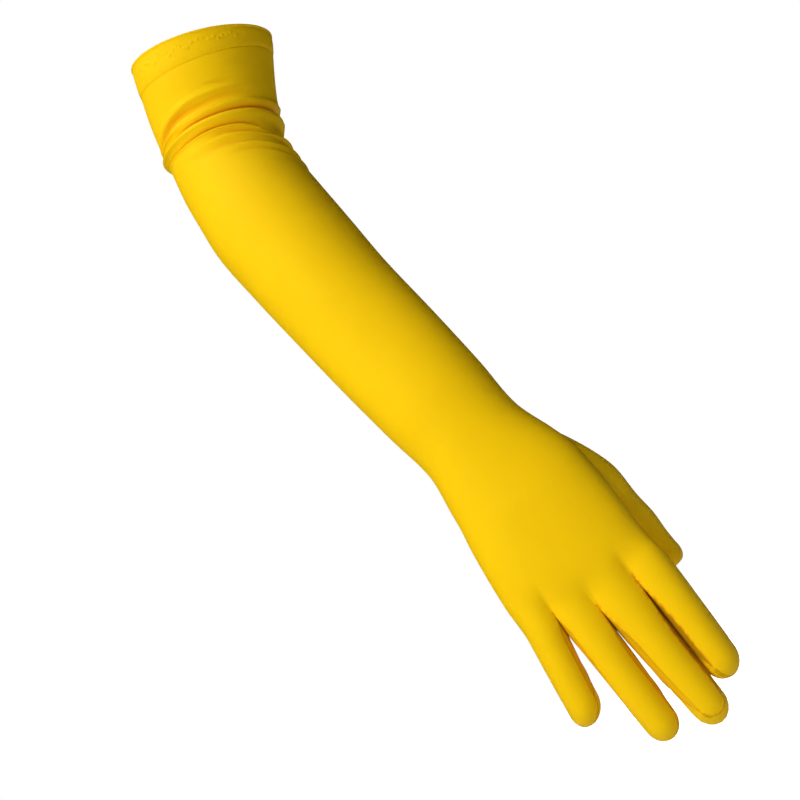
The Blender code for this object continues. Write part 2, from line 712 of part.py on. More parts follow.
def hem_ring():
    """The turned hem: a doubled band round the mouth, its fold rounded and its raw edge inside."""
    ring = bmesh.new()
    around = 2 * sum(row[8] for row in FINGERS)
    inner = HEM_PROUD - HEM_WALL
    low = HEM_DEPTH - SEAM_GAP
    profile = [(inner, low), (HEM_PROUD * HEM_EDGE, low), (HEM_PROUD, low - HEM_WALL * HEM_EDGE)]
    profile += [(inner + HEM_WALL * across, HEM_WALL * down) for across, down in HEM_FOLD]
    corners = bmesh.ops.create_grid(
        ring, x_segments=around, y_segments=len(profile), size=0.5
    )["verts"]
    for corner in corners:
        angle = math.tau * round((corner.co.x + 0.5) * around) / around
        proud, station = profile[round((corner.co.y + 0.5) * len(profile)) % len(profile)]
        corner.co = sleeve_point(angle, station, proud)
    bmesh.ops.remove_doubles(ring, verts=ring.verts, dist=0.002 * MM)
    for face in ring.faces:
        face.smooth = True
    bmesh.ops.triangulate(ring, faces=ring.faces)
    bmesh.ops.recalc_face_normals(ring, faces=ring.faces)
    return ring


def cloth(name, colour):
    """Matt knit cloth."""
    material = bpy.data.materials.new(name)
    material.use_nodes = True
    shader = material.node_tree.nodes["Principled BSDF"]
    shader.inputs["Base Color"].default_value = colour
    shader.inputs["Roughness"].default_value = 0.62
    shader.inputs["Metallic"].default_value = 0.0
    return material


def add_object(name, shape, colour):
    mesh = bpy.data.meshes.new(name)
    shape.to_mesh(mesh)
    shape.free()
    mesh.materials.append(cloth(name, colour))
    bpy.context.scene.collection.objects.link(bpy.data.objects.new(name, mesh))


def build():
    for old in list(bpy.data.objects):
        bpy.data.objects.remove(old)
    yellow = (0.93, 0.58, 0.004, 1.0)
    shaded = (0.90, 0.50, 0.004, 1.0)
    skin = sewn_skin()
    for name in PIECES:
        add_object(name, cut_piece(skin, name), shaded if "fourchette" in name else yellow)
    skin.free()
    add_object("hem_band", hem_ring(), yellow)


build()
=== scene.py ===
import bisect
import math
import random

import bmesh
import bpy
from mathutils import Matrix, Vector


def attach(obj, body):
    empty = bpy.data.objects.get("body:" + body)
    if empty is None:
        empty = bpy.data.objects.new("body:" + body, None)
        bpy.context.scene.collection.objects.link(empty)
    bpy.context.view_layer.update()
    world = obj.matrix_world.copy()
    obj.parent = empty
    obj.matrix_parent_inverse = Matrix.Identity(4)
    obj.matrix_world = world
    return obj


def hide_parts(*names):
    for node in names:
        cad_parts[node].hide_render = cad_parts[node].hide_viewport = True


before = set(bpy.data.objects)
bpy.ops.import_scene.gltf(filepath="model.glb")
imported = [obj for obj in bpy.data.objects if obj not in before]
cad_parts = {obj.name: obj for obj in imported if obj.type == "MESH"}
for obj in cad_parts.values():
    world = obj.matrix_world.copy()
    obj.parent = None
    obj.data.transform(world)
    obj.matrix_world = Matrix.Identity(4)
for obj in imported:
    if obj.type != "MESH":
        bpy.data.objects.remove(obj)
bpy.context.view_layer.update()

# The sleeve's shape. A long glove of thin stretch knit takes the form of the slightly bent arm that
# wears it: a tube down the forearm to the wrist, with a short upper part that leans at the elbow.
MM = 0.001
UPPER_LENGTH = 62.5 * MM
FOREARM_LENGTH = 247.0 * MM
PALM_LENGTH = 102.0 * MM
BEND_LENGTH = 66.0 * MM
ELBOW_BEND = math.radians(39.7)
ELBOW_TOWARDS = math.radians(35.7)
MOUTH_SLANT = 6.2 * MM
MOUTH_HIGH_SIDE = math.radians(-29.0)
MOUTH_WIDTH = 88.6 * MM
ELBOW_WIDTH = 74.0 * MM
FOREARM_WIDTH = 75.5 * MM
WRIST_WIDTH = 59.0 * MM
PALM_WIDTH = 76.0 * MM
BEND_START = UPPER_LENGTH - BEND_LENGTH / 2
BEND_END = UPPER_LENGTH + BEND_LENGTH / 2
WRIST = UPPER_LENGTH + FOREARM_LENGTH
WEBS = WRIST + PALM_LENGTH
SECTIONS = (
    # start, length, place, named width, width, depth, to thumb, to back, squareness
    (0.0, UPPER_LENGTH, 0.00, MOUTH_WIDTH, 1.000, 0.97, 0.000, 0.00, 2.0),
    (0.0, UPPER_LENGTH, 0.35, MOUTH_WIDTH, 0.945, 0.94, 0.004, 0.00, 2.0),
    (0.0, UPPER_LENGTH, 0.75, MOUTH_WIDTH, 0.885, 0.89, 0.020, 0.00, 2.0),
    (UPPER_LENGTH, FOREARM_LENGTH, 0.00, ELBOW_WIDTH, 0.990, 1.00, 0.016, 0.00, 2.0),
    (UPPER_LENGTH, FOREARM_LENGTH, 0.10, FOREARM_WIDTH, 0.965, 0.98, -0.006, 0.00, 2.0),
    (UPPER_LENGTH, FOREARM_LENGTH, 0.24, FOREARM_WIDTH, 1.00, 0.95, -0.038, 0.00, 2.0),
    (UPPER_LENGTH, FOREARM_LENGTH, 0.40, FOREARM_WIDTH, 0.965, 0.90, -0.038, 0.00, 2.0),
    (UPPER_LENGTH, FOREARM_LENGTH, 0.54, FOREARM_WIDTH, 0.92, 0.83, -0.033, 0.00, 2.0),
    (UPPER_LENGTH, FOREARM_LENGTH, 0.72, FOREARM_WIDTH, 0.885, 0.74, -0.010, 0.00, 2.1),
    (UPPER_LENGTH, FOREARM_LENGTH, 0.88, WRIST_WIDTH, 1.07, 0.76, 0.012, 0.00, 2.1),
    (UPPER_LENGTH, FOREARM_LENGTH, 1.00, WRIST_WIDTH, 1.00, 0.70, 0.026, 0.00, 2.2),
    (WRIST, PALM_LENGTH, 0.22, PALM_WIDTH, 0.885, 0.53, 0.036, 0.02, 2.3),
    (WRIST, PALM_LENGTH, 0.33, PALM_WIDTH, 0.940, 0.51, 0.038, 0.02, 2.3),
    (WRIST, PALM_LENGTH, 0.43, PALM_WIDTH, 0.968, 0.49, 0.022, 0.03, 2.4),
    (WRIST, PALM_LENGTH, 0.65, PALM_WIDTH, 1.000, 0.43, -0.010, 0.04, 2.5),
    (WRIST, PALM_LENGTH, 0.89, PALM_WIDTH, 1.000, 0.36, -0.047, 0.05, 2.6),
    (WRIST, PALM_LENGTH, 1.15, PALM_WIDTH, 1.000, 0.27, -0.060, 0.05, 2.6),
)


def clip(value, low, high):
    return max(low, min(high, value))


def through(rows, place):
    """Values at a place between table rows, on a smooth curve through every row."""
    places = [row[0] for row in rows]
    place = clip(place, places[0], places[-1])
    upper = clip(bisect.bisect_right(places, place), 1, len(rows) - 1)
    before, after = rows[upper - 1], rows[upper]
    first, last = rows[max(upper - 2, 0)], rows[min(upper + 1, len(rows) - 1)]
    span = after[0] - before[0]
    share = (place - before[0]) / span
    values = []
    for start, end, ahead, beyond in zip(before[1:], after[1:], first[1:], last[1:]):
        slope_in = (end - ahead) / (after[0] - first[0]) * span
        slope_out = (beyond - start) / (last[0] - before[0]) * span
        values.append(
            (2 * share**3 - 3 * share**2 + 1) * start
            + (share**3 - 2 * share**2 + share) * slope_in
            + (3 * share**2 - 2 * share**3) * end
            + (share**3 - share**2) * slope_out
        )
    return values


def arm_rows():
    """The section table in metres, each row at its station along the middle line."""
    rows = []
    for start, length, place, named, width, depth, to_thumb, to_back, square in SECTIONS:
        half = named * width / 2
        shifts = (PALM_WIDTH * to_thumb, PALM_WIDTH * to_back)
        rows.append((start + length * place, half, half * depth, *shifts, square))
    return rows


ARM_ROWS = arm_rows()


def middle_line(station):
    """The middle of the arm at a station, and how far the arm is turned from hanging straight."""
    radius = BEND_LENGTH / ELBOW_BEND
    lean = Vector((math.cos(ELBOW_TOWARDS), -math.sin(ELBOW_TOWARDS), 0.0))
    down = Vector((0.0, 0.0, -1.0))
    turn = ELBOW_BEND * clip((BEND_END - station) / BEND_LENGTH, 0.0, 1.0)
    upper = down * math.cos(ELBOW_BEND) - lean * math.sin(ELBOW_BEND)
    middle = upper * min(station, BEND_START)
    if station > BEND_START:
        rise = radius * (math.sin(ELBOW_BEND) - math.sin(turn))
        side = radius * (math.cos(turn) - math.cos(ELBOW_BEND))
        middle = middle + down * rise - lean * side
    middle = middle + down * max(station - BEND_END, 0.0)
    return middle, Matrix.Rotation(turn, 3, lean.cross(down))


# The gathers. Where the arm bends, the spare length of the knit stands up in soft folds, and two of
# them lap over the cloth below in tight creases. Each runs round the sleeve as a curved line.
ANGLES_FROM = -100.0  # degrees, where the angles of the tables below start round the sleeve
FOLD_HEIGHT = 1.9 * MM
FOLD_WIDTH = 0.9 * MM
FOLD_REACH = 3.0  # in widths of the fold
# how dark the shade painted in a fold's valley is
VALLEY_SHADE = 0.7
FOLDS = (
    # width, then rows of angle round the sleeve in degrees, place along the bend, height
    (2.6, ((30, 0.15, 0.0), (48, 0.144, 0.3), (80, 0.129, 0.7), (102, 0.114, 0.8),
           (126, 0.140, 0.8), (160, 0.19, 0.5), (205, 0.22, 0.0))),
    (2.2, ((38, 0.23, 0.0), (60, 0.225, -0.4), (86, 0.218, -0.7), (110, 0.182, -1.0),
           (126, 0.178, -1.0), (142, 0.200, -0.8), (175, 0.24, 0.0))),
    (2.4, ((-60, 0.33, 0.0), (-20, 0.34, 0.5), (28, 0.350, 1.0), (52, 0.335, 1.1),
           (96, 0.330, 1.0), (114, 0.308, 0.9), (130, 0.280, 0.9), (150, 0.25, 0.8),
           (190, 0.25, 0.4), (230, 0.25, 0.0))),
    (4.2, ((-60, 0.46, 0.0), (-20, 0.47, 1.2), (4, 0.475, 1.8), (30, 0.480, 1.5),
           (60, 0.475, 1.3), (100, 0.470, 1.3), (140, 0.470, 1.5), (168, 0.450, 1.5),
           (205, 0.44, 0.7), (245, 0.44, 0.0))),
    (1.6, ((-20, 0.73, 0.0), (14, 0.715, 0.5), (34, 0.690, 0.6), (56, 0.620, 0.8),
           (80, 0.598, 0.8), (110, 0.605, 0.5), (140, 0.62, 0.5), (170, 0.57, 0.4),
           (210, 0.55, 0.0))),
    (1.8, ((0, 0.74, 0.0), (34, 0.725, -0.5), (58, 0.678, -0.7), (74, 0.652, -0.6),
           (90, 0.670, -0.3), (115, 0.69, 0.0))),
    (2.2, ((-50, 0.75, 0.0), (-15, 0.76, 0.8), (10, 0.76, 1.3), (30, 0.750, 0.9),
           (42, 0.733, 0.8), (56, 0.735, 0.7), (76, 0.725, 0.5), (125, 0.72, 0.0))),
    (2.6, ((-25, 0.87, 0.0), (10, 0.875, -0.6), (30, 0.868, -0.5), (52, 0.841, -0.5),
           (74, 0.811, -0.5), (94, 0.811, -0.3), (125, 0.80, 0.0))),
    (3.0, ((-40, 0.95, 0.0), (-10, 0.95, 0.6), (12, 0.95, 1.0), (30, 0.94, 0.7),
           (50, 0.91, 0.4), (75, 0.89, 0.0))),
    (2.0, ((-20, 1.03, 0.0), (10, 1.025, -0.6), (32, 1.008, -0.4), (50, 0.965, -0.3),
           (64, 0.962, -0.3), (85, 0.96, 0.0))),
    (3.0, ((-30, 1.09, 0.0), (5, 1.09, 0.6), (24, 1.08, 0.5), (52, 1.05, 0.0))),
    (1.2, ((56, 0.035, 0.0), (62, 0.060, -0.3), (72, 0.035, -0.4), (82, 0.02, 0.0))),
    (1.2, ((36, -0.02, 0.0), (44, -0.023, 0.2), (54, -0.053, 0.2), (62, -0.06, 0.0))),
    (1.4, ((34, -0.13, 0.0), (46, -0.12, 0.2), (60, -0.13, 0.2), (70, -0.14, 0.0))),
)
CREASE_DEPTH = 3.0 * MM
CREASE_WIDTH = 1.3 * MM
CREASE_POWER = 1.25
CREASE_REACH = 8.0  # in widths of the crease, as the three places below
LAP = 1.4 * MM
LAP_ABOVE = 1.0
# where the shade painted along a crease lies below its line, and how far it spreads
SHADE_BELOW = 0.3
SHADE_SPREAD = 1.8
CREASES = (
    # rows of angle in degrees, place along the bend, strength
    ((-75, 0.40, 0.0), (-20, 0.40, 0.7), (4, 0.395, 1.0), (52, 0.388, 1.0), (86, 0.386, 1.0),
     (110, 0.374, 1.0), (134, 0.370, 0.9), (150, 0.356, 0.8), (185, 0.33, 0.5), (230, 0.32, 0.0)),
    ((-75, 0.66, 0.0), (-20, 0.67, 0.7), (10, 0.675, 1.0), (24, 0.672, 1.0), (34, 0.635, 1.0),
     (44, 0.590, 1.0), (56, 0.568, 1.0), (86, 0.553, 1.0), (108, 0.566, 1.0), (134, 0.583, 1.0),
     (150, 0.568, 1.0), (168, 0.530, 0.9), (200, 0.50, 0.5), (245, 0.49, 0.0)),
)
ROW_LEANS = (
    # place along the bend, how far a row sinks at the thumb side in shares of the bend
    (-0.45, 0.00),
    (0.19, -0.12),
    (0.41, 0.00),
    (0.61, 0.11),
    (0.85, 0.15),
    (1.15, 0.12),
    (1.80, 0.00),
)


def smooth(value):
    """An S-shaped step from 0 to 1."""
    value = clip(value, 0.0, 1.0)
    return value * value * (3.0 - 2.0 * value)


def along_bend(rows, angle, station):
    """How far a station is below a fold's line at an angle round the sleeve, and its strength."""
    degrees = (math.degrees(angle) - ANGLES_FROM) % 360.0 + ANGLES_FROM
    if not rows[0][0] < degrees < rows[-1][0]:
        return 1.0, 0.0
    place, strength = through(rows, degrees)
    return station - BEND_START - BEND_LENGTH * place, strength


def gathered(angle, station):
    """How far the gathers lift the cloth and push it down the arm, and how dark the shade painted on
    it is.
    """
    lift = 0.0
    slump = 0.0
    painted_shade = 0.0
    for width, rows in FOLDS:
        distance, height = along_bend(rows, angle, station)
        if height and abs(distance) < FOLD_REACH * FOLD_WIDTH * width:
            rise = height * math.exp(-((distance / (FOLD_WIDTH * width)) ** 2))
            lift += rise * FOLD_HEIGHT
            # a fold's valley gets painted shade
            painted_shade = max(painted_shade, -VALLEY_SHADE * rise)
    for rows in CREASES:
        distance, strength = along_bend(rows, angle, station)
        distance /= CREASE_WIDTH
        if strength and abs(distance) < CREASE_REACH:
            lift -= CREASE_DEPTH * strength * math.exp(-abs(distance) ** CREASE_POWER)
            slump += LAP * strength * math.exp(-((distance + LAP_ABOVE) ** 2))
            # painted shade along the crease
            painted_shade = max(painted_shade, strength * math.exp(-((distance - SHADE_BELOW) ** 2) / SHADE_SPREAD))
    return lift, slump, painted_shade


def leaned(angle, station):
    """Where a row of the cloth runs at an angle: it leans at the elbow and at the slanted mouth."""
    sink = through(ROW_LEANS, (station - BEND_START) / BEND_LENGTH)[0]
    slant = MOUTH_SLANT * math.cos(angle - MOUTH_HIGH_SIDE) * smooth(1.0 - station / BEND_END)
    return station + BEND_LENGTH * sink * math.cos(angle) - slant


def oval(value, square):
    """A sine or cosine bent so that the oval it draws is squarer: 2 keeps it a plain oval."""
    return math.copysign(abs(value) ** (2.0 / square), value)


def sleeve_point(angle, station, proud=0.0):
    """A point of the sleeve or hand, at an angle from the thumb side over the back."""
    lift, slump, _ = gathered(angle, station)
    lift += proud
    station = leaned(angle, station) + slump
    half_width, half_depth, to_thumb, to_back, square = through(ARM_ROWS, station)
    middle, turn = middle_line(station)
    across = to_thumb + (half_width + lift) * oval(math.cos(angle), square)
    back = to_back + (half_depth + lift) * oval(math.sin(angle), square)
    return middle + turn @ Vector((across, -back, 0.0))


# The hand's shape. At the knuckles the palm's oval turns into four fingers side by side, which meet
# at webs that slant down to the palm. Each finger tapers to a rounded tip.
KNUCKLE_LENGTH = 34.0 * MM
KNUCKLE_POWER = 5.0
INDEX_LENGTH = 59.5 * MM
MIDDLE_LENGTH = 71.5 * MM
RING_LENGTH = 69.0 * MM
LITTLE_LENGTH = 48.0 * MM
WEB_SLANT = 9.0 * MM
NEAREST = 0.1 * MM
WEB_ROUND = 2.0 * MM
FINGERS_TO_THUMB = -0.055
FINGERS_TO_BACK = 0.075
FINGER_DEPTH = 0.96
TAPER_POWER = 1.3
TIP_LENGTH = 0.48
STRIP_ANGLE = math.radians(38.0)
STRIP_POINT = 2.5
TINY = 1e-9
SIDE_ANGLE = math.radians(-8.0)
TIP_CORNER = math.radians(40.0)
ROW_POWER = 1.3
FINGERS = (
    # name, length, place, width, web's rise, lean, curl, taper, columns
    ("index", INDEX_LENGTH, 0.395, 0.245, 0.000, -0.094, 0.13, 0.12, 20),
    ("middle", MIDDLE_LENGTH, 0.121, 0.276, 0.007, -0.024, 0.13, 0.21, 12),
    ("ring", RING_LENGTH, -0.143, 0.246, 0.104, -0.047, 0.13, 0.17, 12),
    ("little", LITTLE_LENGTH, -0.360, 0.236, 0.104, -0.216, 0.13, 0.12, 20),
)
GAPS = (
    # how far down the fingers touch, in shares of the middle finger: strip's edges, its middle
    (0.47, 0.74),
    (0.36, 0.64),
    (0.18, 0.26),
)
SEAM_TURNS = (
    # degrees that a finger's seams have turned at its tip: thumb side, little side, end
    (0.0, 48.0, 10.0),
    (38.0, 52.0, 58.0),
    (28.0, 8.0, 22.0),
    (40.0, 0.0, 18.0),
)


def lerp(start, end, share):
    return start + (end - start) * share


def web_station(finger):
    """The station of the web on a finger's little side, or the nearest one to it."""
    web_rise = FINGERS[clip(finger, 0, len(GAPS) - 1)][4]
    return WEBS - PALM_LENGTH * web_rise


def finger_start(finger, angle):
    """Where a finger starts at an angle round it: at its webs, which slant down to the palm."""
    thumb_side = web_station(finger - 1)
    little_side = web_station(finger)
    share = clip(math.cos(angle) / math.cos(STRIP_ANGLE), -1.0, 1.0)
    back = clip(math.sin(angle) / math.sin(STRIP_ANGLE), -1.0, 1.0)
    return lerp(little_side, thumb_side, (share + 1) / 2) + WEB_SLANT * (1 - back) / 2


def finger_tip_start(finger):
    """The station where a finger's side ends and the dome of its tip begins."""
    _, length, _, width = FINGERS[finger][:4]
    root = (web_station(finger - 1) + web_station(finger)) / 2
    return root + length - PALM_WIDTH * width * TIP_LENGTH


def finger_frame(finger, station):
    """A finger's middle, half width and half depth at a station."""
    _, length, place, width, _, lean, curl, taper, _ = FINGERS[finger]
    root = (web_station(finger - 1) + web_station(finger)) / 2
    share = (station - root) / length
    across = PALM_WIDTH * (FINGERS_TO_THUMB + place) + length * lean * share
    back = PALM_WIDTH * FINGERS_TO_BACK - length * curl * max(share, 0.0) ** 2
    half = PALM_WIDTH * width / 2 * (1 - taper * max(share, 0.0) ** TAPER_POWER)
    middle = middle_line(station)[0]
    return middle + Vector((across, -back, 0.0)), half, half * FINGER_DEPTH


def plain_finger_point(finger, angle, station):
    """A point of a finger that stands free of its neighbours."""
    middle, half_width, half_depth = finger_frame(finger, station)
    return middle + Vector((half_width * math.cos(angle), -half_depth * math.sin(angle), 0.0))


def finger_point(finger, angle, station, past_web):
    """A point of a finger. Below the web it keeps to its side of the middle of the gap."""
    point = plain_finger_point(finger, angle, station)
    pull = Vector((0.0, 0.0, 0.0))
    for beside, facing, side in ((finger - 1, 0.0, 1), (finger + 1, math.pi, -1)):
        if not 0 <= beside < len(FINGERS):
            continue
        own = (angle - facing + math.pi) % math.tau - math.pi
        edge = clip(own, -STRIP_ANGLE, STRIP_ANGLE)
        edges_part, sides_part = GAPS[min(finger, beside)]
        parting = MIDDLE_LENGTH * lerp(sides_part, edges_part, abs(edge) / STRIP_ANGLE)
        closed = 1.0 - smooth(past_web / parting)
        rounded = math.sqrt(1.0 - (1.0 - clip(past_web / WEB_ROUND, 0.0, 1.0)) ** 2)
        here = plain_finger_point(finger, facing + edge, station)
        there = plain_finger_point(beside, facing + math.pi - edge, station)
        apart = (there.x - here.x) * side
        across = (apart - max(apart * (1.0 - closed), NEAREST * closed * rounded)) * side
        share = clip((1 + math.cos(own) / math.cos(edge)) / 2, 0.0, 1.0) ** 2
        pull += Vector((across, (there.y - here.y) * closed, 0.0)) / 2 * share
    return point + pull


def hand_point(finger, palm_angle, finger_angle, station, past_web):
    """A point of the hand, which turns from one oval into the row of fingers at the knuckles."""
    apart = smooth(1.0 + past_web / KNUCKLE_LENGTH) ** KNUCKLE_POWER
    if apart == 0.0:
        return sleeve_point(palm_angle, station)
    own = finger_point(finger, finger_angle, station, past_web)
    if apart == 1.0:
        return own
    return sleeve_point(palm_angle, station).lerp(own, apart)


def turned(finger, angle, down):
    """The angle round a finger after its seams have turned, at a share of the way to its tip."""
    thumb_side, little_side, _ = (math.radians(turn) * down**2 for turn in SEAM_TURNS[finger])
    angle = (angle + math.pi) % math.tau - math.pi
    room = math.pi + (thumb_side + little_side) * (-1 if angle > 0.0 else 1)
    return thumb_side + angle * room / math.pi


def tip_point(finger, angle, share):
    """A point of a fingertip's dome. At share 1 the cloth has reached the seam over the tip."""
    corner = TIP_CORNER * share
    tilt = math.pi / 2 * share
    sunk = math.sin(corner) * math.sin(tilt)
    lift = math.sqrt(sunk**2 + (math.cos(corner) * math.sin(angle)) ** 2) - sunk
    side = math.copysign(1.0, math.sin(angle)) if abs(math.sin(angle)) > TINY else 1.0
    across = math.cos(corner) * math.cos(angle)
    back = side * lift * math.cos(tilt)
    down = math.sin(corner) + lift * math.sin(tilt)
    flat = math.hypot(across, back)
    angle = turned(finger, math.atan2(back, across), 1.0)
    across, back = flat * math.cos(angle), flat * math.sin(angle)
    over = math.radians(SEAM_TURNS[finger][2]) * math.asin(min(down, 1.0)) / (math.pi / 2)
    back, down = (
        back * math.cos(over) + down * math.sin(over),
        down * math.cos(over) - back * math.sin(over),
    )
    station = finger_tip_start(finger)
    radius = PALM_WIDTH * FINGERS[finger][3] * TIP_LENGTH
    half_width, half_depth = finger_frame(finger, station)[1:]
    middle = finger_frame(finger, station + radius * down)[0]
    return middle + Vector((half_width * across, -half_depth * back, 0.0))


# The cloth. Every piece is cut from one knit and lies on one surface: rows of cloth run from the
# cuff (0) to the wrist (1), the webs (2), the start of the fingertips (3) and their ends (4).
HEM_DEPTH = 15.0 * MM
CLOTH = 1.0 * MM
WELD = 0.002 * MM
WALE_RADIUS = 38.0 * MM
HOLE_BACK = 0.2
HOLE_PALM = 0.6
HOLE_TOP = 1 + 2 / 12
HOLE_BOTTOM = 1 + 8 / 12
ROW_ROUNDING = 1e-6
HAND_ROWS = 48
FINGER_ROWS = 36
TIP_ROWS = 12
STRIP_COLUMNS = 8
WIDEST_SHARE = 0.95
PIECES = (
    "back_panel",
    "palm_panel",
    "fourchette_index_middle",
    "fourchette_middle_ring",
    "fourchette_ring_little",
    "thumb",
)
SLEEVE_STRETCHES = (
    # end of the stretch, length of cloth between rows
    (BEND_START, 0.9 * MM),
    (BEND_START + 0.28 * BEND_LENGTH, 0.7 * MM),
    (BEND_START + 0.80 * BEND_LENGTH, 0.45 * MM),
    (BEND_END + 8.0 * MM, 0.8 * MM),
    (WRIST, 3.0 * MM),
)


def cloth_rows():
    """The places of the rows of cloth, closest together where the gathers are."""
    rows = []
    start = HEM_DEPTH
    for end, step in SLEEVE_STRETCHES:
        count = round((end - start) / step)
        stations = [lerp(start, end, share / count) for share in range(count)]
        rows += [(station - HEM_DEPTH) / (WRIST - HEM_DEPTH) for station in stations]
        start = end
    rows += [1 + share / HAND_ROWS for share in range(HAND_ROWS)]
    rows += [2 + share / FINGER_ROWS for share in range(FINGER_ROWS)]
    rows += [3 + share / TIP_ROWS for share in range(TIP_ROWS + 1)]
    return rows


ROWS = cloth_rows()


def palm_angles():
    """The angles round the hand that part the fingers' columns, over the back from the thumb side."""
    half_width, _, _, _, square = through(ARM_ROWS, WEBS)
    angles = [SIDE_ANGLE]
    for first, second in zip(FINGERS, FINGERS[1:]):
        between = PALM_WIDTH * (first[2] - first[3] / 2 + second[2] + second[3] / 2) / 2
        share = clip(between / half_width, -WIDEST_SHARE, WIDEST_SHARE)
        angles.append(math.acos(oval(share, 4.0 / square)))
    return angles + [math.pi - SIDE_ANGLE]


PALM_ANGLES = palm_angles()


def column_angles(finger, side, share, row):
    """Angles round the hand and round the finger, for a share of the way across a finger's cloth."""
    palm_start = PALM_ANGLES[finger] * side
    palm_end = PALM_ANGLES[finger + 1] * side
    if side < 0 and finger == 0:
        palm_start = SIDE_ANGLE
    if side < 0 and finger == len(FINGERS) - 1:
        palm_end = -math.pi - SIDE_ANGLE
    narrowing = 1.0 - clip(row - 2.0, 0.0, 1.0) ** STRIP_POINT
    start = STRIP_ANGLE * narrowing * side
    end = (math.pi - STRIP_ANGLE * narrowing) * side
    if finger == 0:
        start = SIDE_ANGLE * narrowing
    if finger == len(FINGERS) - 1:
        end = math.pi * side - SIDE_ANGLE * narrowing
    return lerp(palm_start, palm_end, share), lerp(start, end, share)


def round_opening(across, row):
    """Moves places near the thumb's opening so that its square outline turns into an oval."""
    half_across = (HOLE_BACK + HOLE_PALM) / 2
    half_down = (HOLE_BOTTOM - HOLE_TOP) / 2
    aside = (across - (HOLE_BACK - HOLE_PALM) / 2) / half_across
    down = (row - (HOLE_TOP + HOLE_BOTTOM) / 2) / half_down
    size = max(abs(aside), abs(down))
    if not TINY < size < 2.0:
        return across, row
    fade = min(2.0 - size, 1.0)
    round_aside = aside * math.sqrt(1.0 - (down / size) ** 2 / 2)
    round_down = down * math.sqrt(1.0 - (aside / size) ** 2 / 2)
    across += (round_aside - aside) * fade * half_across
    row += (round_down - down) * fade * half_down
    return across, row


def panel_point(finger, side, share, row):
    """A point of the back or palm panel, its place on the flat cloth, and how much shade is painted
    on it.
    """
    if finger == 0:
        across, row = round_opening(share * side, row)
        side = 1 if across > 0 or (across == 0 and side > 0) else -1
        share = abs(across)
    palm_angle, finger_angle = column_angles(finger, side, share, row)
    wale = palm_angle * WALE_RADIUS
    if row > 3.0:
        point = tip_point(finger, finger_angle, row - 3.0)
        return point, (wale, -point.z), 0.0
    if row <= 1.0:
        station = lerp(HEM_DEPTH, WRIST, row)
        return sleeve_point(palm_angle, station), (wale, station), gathered(palm_angle, station)[2]
    web_angle = column_angles(finger, side, share, 2.0)[1]
    start = finger_start(finger, web_angle)
    if row <= 2.0:
        station = lerp(WRIST, start, row - 1.0)
    else:
        station = lerp(start, finger_tip_start(finger), (row - 2.0) ** ROW_POWER)
        finger_angle = turned(finger, finger_angle, row - 2.0)
    point = hand_point(finger, palm_angle, finger_angle, station, station - start)
    return point, (wale, station), 0.0


def clear_of_opening(finger, side, share, row):
    """Whether a place on a panel lies outside the thumb's opening, at the index's side."""
    reach = HOLE_BACK if side > 0 else HOLE_PALM
    beside = HOLE_TOP - ROW_ROUNDING < row < HOLE_BOTTOM - ROW_ROUNDING
    return finger > 0 or share > reach or not beside


def add_patch(skin, piece, columns, rows, place, keep=None):
    """Adds a grid of cloth to the skin, with each corner moved to its place on the glove."""
    corners = bmesh.ops.create_grid(
        skin, x_segments=columns, y_segments=len(rows) - 1, size=0.5
    )["verts"]
    faces = {face for corner in corners for face in corner.link_faces}
    if keep:
        cut = []
        for face in faces:
            middle = face.calc_center_median()
            row = rows[int((middle.y + 0.5) * (len(rows) - 1))]
            if not keep(middle.x + 0.5, row):
                cut.append(face)
        bmesh.ops.delete(skin, geom=cut, context="FACES")
        faces = {face for face in faces if face.is_valid}
    uv = skin.loops.layers.uv.verify()
    painted_shade = skin.verts.layers.float["painted_shade"]
    flat = {}
    for corner in corners:
        if corner.is_valid:
            column = round((corner.co.x + 0.5) * columns)
            row = rows[round((corner.co.y + 0.5) * (len(rows) - 1))]
            corner.co, flat[corner], corner[painted_shade] = place(column / columns, row)
    for face in faces:
        face.material_index = PIECES.index(piece)
        for loop in face.loops:
            loop[uv].uv = flat[loop.vert]


skin = bmesh.new()
skin.loops.layers.uv.new("cloth")
# each corner carries how much shade is painted on it
skin.verts.layers.float.new("painted_shade")
skin.verts.layers.float.new("seam")
for number, (*_, columns) in enumerate(FINGERS):
    for side, panel in ((1, "back_panel"), (-1, "palm_panel")):
        add_patch(
            skin,
            panel,
            columns,
            ROWS,
            lambda share, row: panel_point(number, side, share, row),
            lambda share, row: clear_of_opening(number, side, share, row),
        )

# The strips between the fingers. Each is a narrow piece of the same knit that runs down the side of
# one finger from a point, through the web, and up the side of the next.
STRIPS = [name for name in PIECES if "fourchette" in name]
STRIP_SHADES = (
    # how far from the web the strip lies in shade, how dark it is at the web
    (100.0 * MM, 1.0),
    (20.0 * MM, 0.8),
    (9.0 * MM, 0.5),
)


def strip_point(finger, facing, share, row):
    """A point of the strip on a finger's side: 0 faces the thumb side and pi the little side."""
    narrowing = 1.0 - (row - 2.0) ** STRIP_POINT
    off_middle = lerp(STRIP_ANGLE, -STRIP_ANGLE, share) * (1 if facing == 0.0 else -1)
    start = finger_start(finger, facing + off_middle)
    station = lerp(start, finger_tip_start(finger), (row - 2.0) ** ROW_POWER)
    angle = turned(finger, facing + off_middle * narrowing, row - 2.0)
    point = finger_point(finger, angle, station, station - start)
    reach, strength = STRIP_SHADES[finger - 1 if facing == 0.0 else finger]
    # the strip gets painted shade, darkest at the web
    shade = strength * math.exp(-(((station - start) / reach) ** 2))
    return point, (off_middle * narrowing * PALM_WIDTH / 9, station), shade


STRIP_ROWS = [row for row in ROWS if 2.0 <= row <= 3.0]
for number, strip in enumerate(STRIPS):
    for wearer, facing in ((number, math.pi), (number + 1, 0.0)):
        add_patch(
            skin,
            strip,
            STRIP_COLUMNS,
            STRIP_ROWS,
            lambda share, row: strip_point(wearer, facing, share, row),
        )

